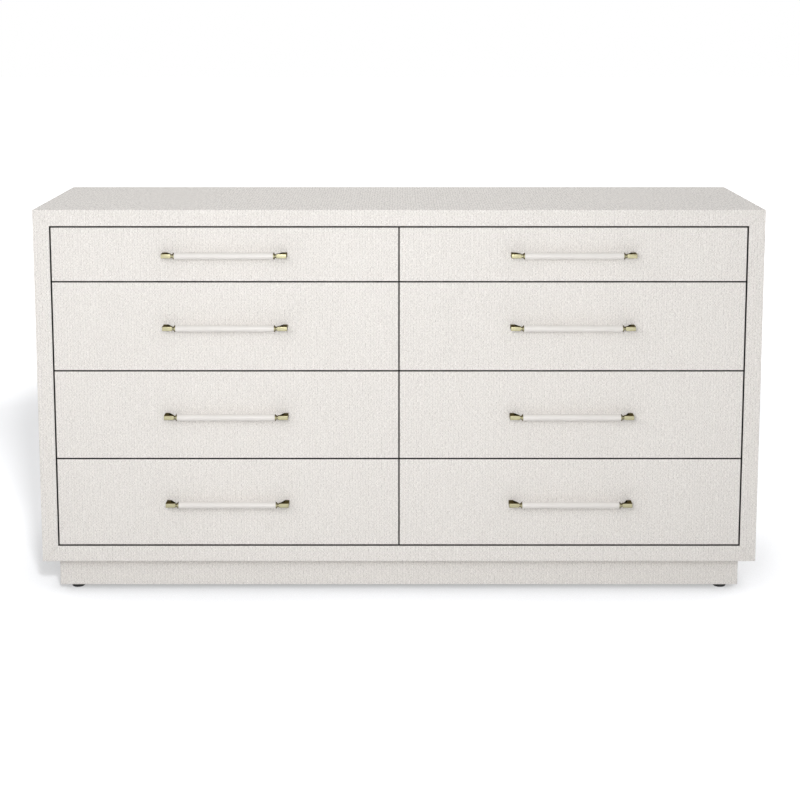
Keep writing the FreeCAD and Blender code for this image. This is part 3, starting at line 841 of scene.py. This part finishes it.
class DRESSER_OT_make_drawer_boxes(DressingOperator):
    """Part each drawer box into its five boards and give every board its own grain"""

    bl_idname = "dresser.make_drawer_boxes"
    bl_label = "Part the drawer boxes"

    def make(self):
        grains = (timber("timber_along_width", 0), timber("timber_along_depth", 1))
        for drawer in DRAWERS:
            node = drawer + "_drawer_box"
            low, high = (np.array(corner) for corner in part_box(node))
            middle = (low + high) / 2
            for points, faces in loose_boards(node):
                size = np.ptp(points, axis=0)
                centre = (points.max(axis=0) + points.min(axis=0)) / 2
                word, grain = self.board(size, centre, middle)
                piece = piece_from(f"{drawer}_box_{word}", points, faces, grains[grain])
                place_piece(piece, drawer + "_drawer", "drawer_wood", node)

    def board(self, size, centre, middle):
        """The name of a board and its grain: 0 along the width, 1 along the depth."""
        if size.argmin() == 2:
            return "bottom", 0
        if size.argmin() == 1:
            return ("inner_front" if centre[1] < middle[1] else "back"), 0
        return ("left_side" if centre[0] < middle[0] else "right_side"), 1


class DRESSER_OT_finish_runners(DressingOperator):
    """Plate the telescopic runners"""

    bl_idname = "dresser.finish_runners"
    bl_label = "Plate the runners"

    def make(self):
        zinc = bpy.data.materials.get("zinc_plate") or zinc_plate()
        for node in frame["nodes"]:
            if node.endswith("_runners"):
                refinish(node, zinc)


class DRESSER_OT_finish_inside(DressingOperator):
    """Prime the centre partition and give the plinth's glue blocks their grain"""

    bl_idname = "dresser.finish_inside"
    bl_label = "Finish the inside"

    def make(self):
        refinish("centre_partition", dark_primer())
        refinish("plinth_corner_blocks", bpy.data.materials["timber_along_width"])


class DRESSER_OT_finish_feet(DressingOperator):
    """Mould the feet in black plastic and plate their screws"""

    bl_idname = "dresser.finish_feet"
    bl_label = "Finish the feet"

    def make(self):
        refinish("plinth_glides", black_plastic())
        refinish("glide_screws", bpy.data.materials["zinc_plate"])


FLOOR_HALF = 30.0             # the floor reaches this far each way
CONTACT_SAMPLES = 4
# Where each lamp hangs, the point that it is aimed at, and its width and height
FRONT_AIM = (0.0, FACE_Y, 0.5)
LAMPS = {
    "key": ((-0.2, -2.8, 1.25), FRONT_AIM, (0.8, 0.8)),
    "fill": ((-1.6, -2.4, 1.9), FRONT_AIM, (0.8, 0.8)),
    "top": ((-0.1, 0.5, 2.4), (0.0, 0.1, 0.4), (1.6, 1.2)),
    "floor_lamp": ((2.14, -10.8, 6.35), FRONT_AIM, (0.95, 1.3)),
}


class DRESSER_OT_set_studio(DressingOperator):
    """Lay the pale floor, hang the softboxes and set up the camera"""

    bl_idname = "dresser.set_studio"
    bl_label = "Set the studio"

    def make(self):
        self.floor()
        self.room()
        self.lamps()
        self.camera()

    def floor(self):
        """A floor that takes shadows near the dresser, with painted contact shade close to what
        stands on it, and fades to plain white further away.
        """
        values = settings("studio")
        half = FLOOR_HALF
        corners = [(-half, -half, 0.0), (half, -half, 0.0), (half, half, 0.0), (-half, half, 0.0)]
        material = bpy.data.materials.new("studio_floor")
        material.use_nodes = True
        tree = material.node_tree
        tree.nodes.clear()
        diffuse = tree.nodes.new("ShaderNodeBsdfDiffuse")
        direct = seen_directly(tree)
        # Painted shade: ambient occlusion darkens the floor's colour near what stands on it.
        contact = tree.nodes.new("ShaderNodeAmbientOcclusion")
        contact.inputs["Distance"].default_value = values.contact_reach
        contact.samples = CONTACT_SAMPLES
        openness = Signal(contact.outputs["AO"])
        shaded = mixed(tree, openness, values.contact_shade_colour, values.floor_colour)
        feed(diffuse.inputs["Color"], mixed(tree, direct, values.floor_bounce, shaded))
        glow = tree.nodes.new("ShaderNodeEmission")
        place = tree.nodes.new("ShaderNodeTexCoord").outputs["Object"]
        distance = tree.nodes.new("ShaderNodeVectorMath")
        distance.operation = "LENGTH"
        tree.links.new(place, distance.inputs[0])
        far = Signal(distance.outputs["Value"]).passing(values.glow_starts,
                                                        values.glow_ends - values.glow_starts)
        strength = far * (1.0 - values.floor_glow) + values.floor_glow
        feed(glow.inputs["Strength"], direct * strength)
        total = tree.nodes.new("ShaderNodeAddShader")
        output = tree.nodes.new("ShaderNodeOutputMaterial")
        tree.links.new(diffuse.outputs[0], total.inputs[0])
        tree.links.new(glow.outputs[0], total.inputs[1])
        tree.links.new(total.outputs[0], output.inputs["Surface"])
        piece_from("studio_floor", corners, [[0, 1, 2, 3]], material)

    def room(self):
        """Even grey light from all round, which looks white where it is seen directly."""
        world = bpy.data.worlds.new("studio_room")
        bpy.context.scene.world = world
        world.use_nodes = True
        tree = world.node_tree
        backdrop = tree.nodes["Background"]
        backdrop.inputs["Color"].default_value = (1.0, 1.0, 1.0, 1.0)
        sky = settings("studio").sky
        feed(backdrop.inputs["Strength"], seen_directly(tree) * (1.0 - sky) + sky)

    def lamps(self):
        """Two softboxes in front, one overhead, and a lamp that lights nothing but the floor."""
        values = settings("studio")
        softbox("key", values.key_power)
        softbox("fill", values.fill_power)
        softbox("top", values.top_power).data.color = values.top_tint
        floor_lamp = softbox("floor_lamp", values.floor_power)
        lit = bpy.data.collections.new("floor_alone")
        lit.objects.link(bpy.data.objects["studio_floor"])
        floor_lamp.light_linking.receiver_collection = lit

    def camera(self):
        values = settings("studio")
        data = bpy.data.cameras.new("camera")
        data.sensor_width = values.sensor
        data.lens = values.lens
        data.shift_x, data.shift_y = values.shift_x, values.shift_y
        camera = bpy.data.objects.new("camera", data)
        camera.location = (values.camera_side, FACE_Y - values.camera_distance,
                           values.camera_height)
        camera.rotation_euler = (math.pi / 2 - values.camera_pitch, 0.0, 0.0)
        bpy.context.scene.collection.objects.link(camera)
        bpy.context.scene.camera = camera
        bpy.context.scene.view_settings.view_transform = "Standard"


def seen_directly(tree):
    """1 for rays from the camera and for those that metal or glass sends on, 0 for all others."""
    rays = tree.nodes.new("ShaderNodeLightPath").outputs
    camera, glossy = Signal(rays["Is Camera Ray"]), Signal(rays["Is Glossy Ray"])
    return camera.or_more(glossy).or_more(Signal(rays["Is Transmission Ray"]))


def softbox(name, watts):
    """The lamp of that name, hung at its place and turned towards the point that it lights."""
    place, aim, size = LAMPS[name]
    data = bpy.data.lights.new(name, "AREA")
    data.shape = "RECTANGLE"
    data.size, data.size_y = size
    data.energy = watts
    lamp = bpy.data.objects.new(name, data)
    lamp.location = place
    lamp.rotation_euler = (Vector(aim) - Vector(place)).to_track_quat("-Z", "Y").to_euler()
    bpy.context.scene.collection.objects.link(lamp)
    return lamp


OPERATORS = (DRESSER_OT_wrap_case, DRESSER_OT_wrap_fronts, DRESSER_OT_make_grips,
             DRESSER_OT_make_brackets, DRESSER_OT_make_drawer_boxes, DRESSER_OT_finish_runners,
             DRESSER_OT_finish_inside, DRESSER_OT_finish_feet, DRESSER_OT_set_studio)


class DRESSER_PT_steps(bpy.types.Panel):
    """The steps that dress the dresser, in order, and their settings."""

    bl_label = "Dresser"
    bl_idname = "DRESSER_PT_steps"
    bl_space_type = "VIEW_3D"
    bl_region_type = "UI"
    bl_category = "Dresser"

    def draw(self, context):
        for operator in OPERATORS:
            self.layout.operator(operator.bl_idname)
        for kind in SETTINGS:
            box = self.layout.box()
            box.label(text=kind.capitalize())
            group = settings(kind)
            for name in group.__annotations__:
                box.prop(group, name)


CLASSES = (*SETTINGS.values(), *OPERATORS, DRESSER_PT_steps)


def register():
    for part in CLASSES:
        bpy.utils.register_class(part)
    for kind, group in SETTINGS.items():
        setattr(bpy.types.Scene, "dresser_" + kind, PointerProperty(type=group))


def unregister():
    for kind in SETTINGS:
        delattr(bpy.types.Scene, "dresser_" + kind)
    for part in reversed(CLASSES):
        bpy.utils.unregister_class(part)


def main():
    register()
    for operator in OPERATORS:
        group, step = operator.bl_idname.split(".")
        getattr(getattr(bpy.ops, group), step)()


if __name__ == "__main__":
    main()
